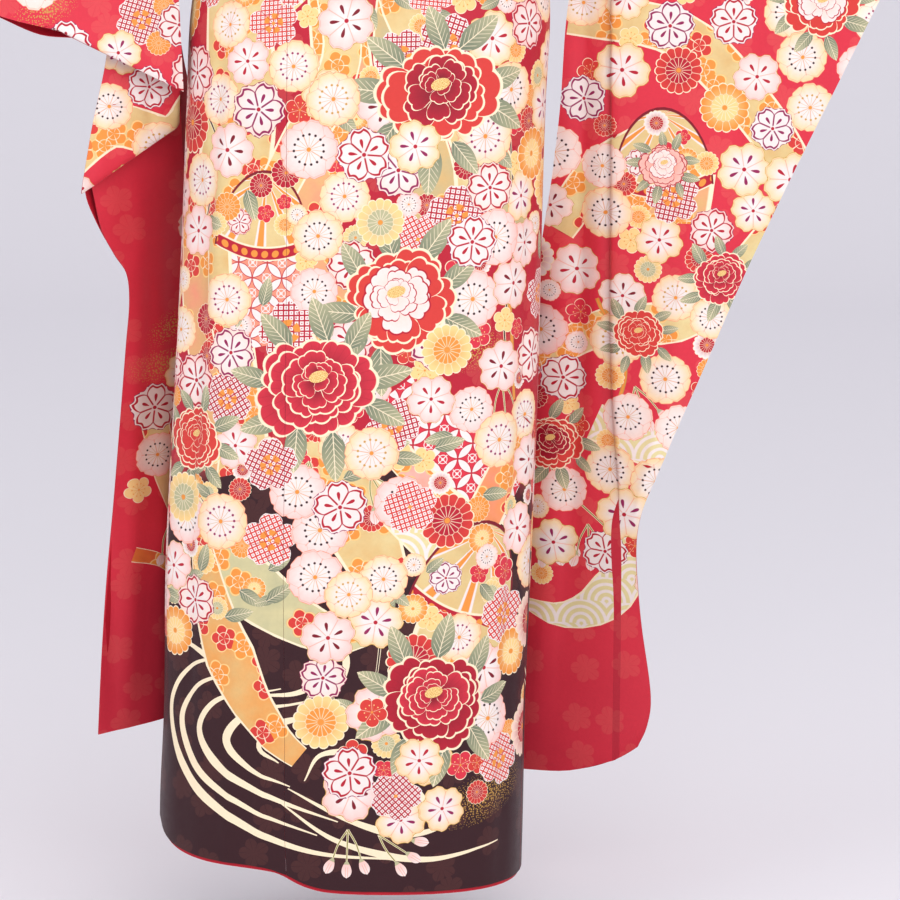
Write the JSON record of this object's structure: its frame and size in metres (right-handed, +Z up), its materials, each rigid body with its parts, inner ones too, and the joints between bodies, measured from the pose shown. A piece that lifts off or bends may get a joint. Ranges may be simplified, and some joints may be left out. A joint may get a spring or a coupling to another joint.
{
  "type": "furisode kimono with obi",
  "caption": "Long-sleeved furisode kimono in worn form, wrapped left over right, with hip tuck, obi band and drum bow; sleeves held out and hanging.",
  "frame": {"origin": "middle of the shoulder line, where the wearer's shoulders hold the robe", "axes": "+Z up, front towards -Y, +X towards the wearer's left (right of the front view)"},
  "size_m": [1.125, 0.3544, 1.4139],
  "materials": {
    "printed_silk": "satin figured silk with a dense dyed flower pattern on red and dark plum grounds",
    "collar_silk": "satin figured silk, red",
    "lining_silk": "plain red silk lining",
    "obi_brocade": "gold brocade with a small woven lattice"
  },
  "bodies": {
    "root": {"body_left": "printed_silk", "body_right": "printed_silk", "okumi_left": "printed_silk", "okumi_right": "printed_silk", "sleeve_left": "printed_silk", "sleeve_right": "printed_silk", "collar": "collar_silk", "hip_tuck": "printed_silk", "obi": "obi_brocade", "obi_drum": "obi_brocade", "hem_roll": "lining_silk"}
  },
  "joints": []
}
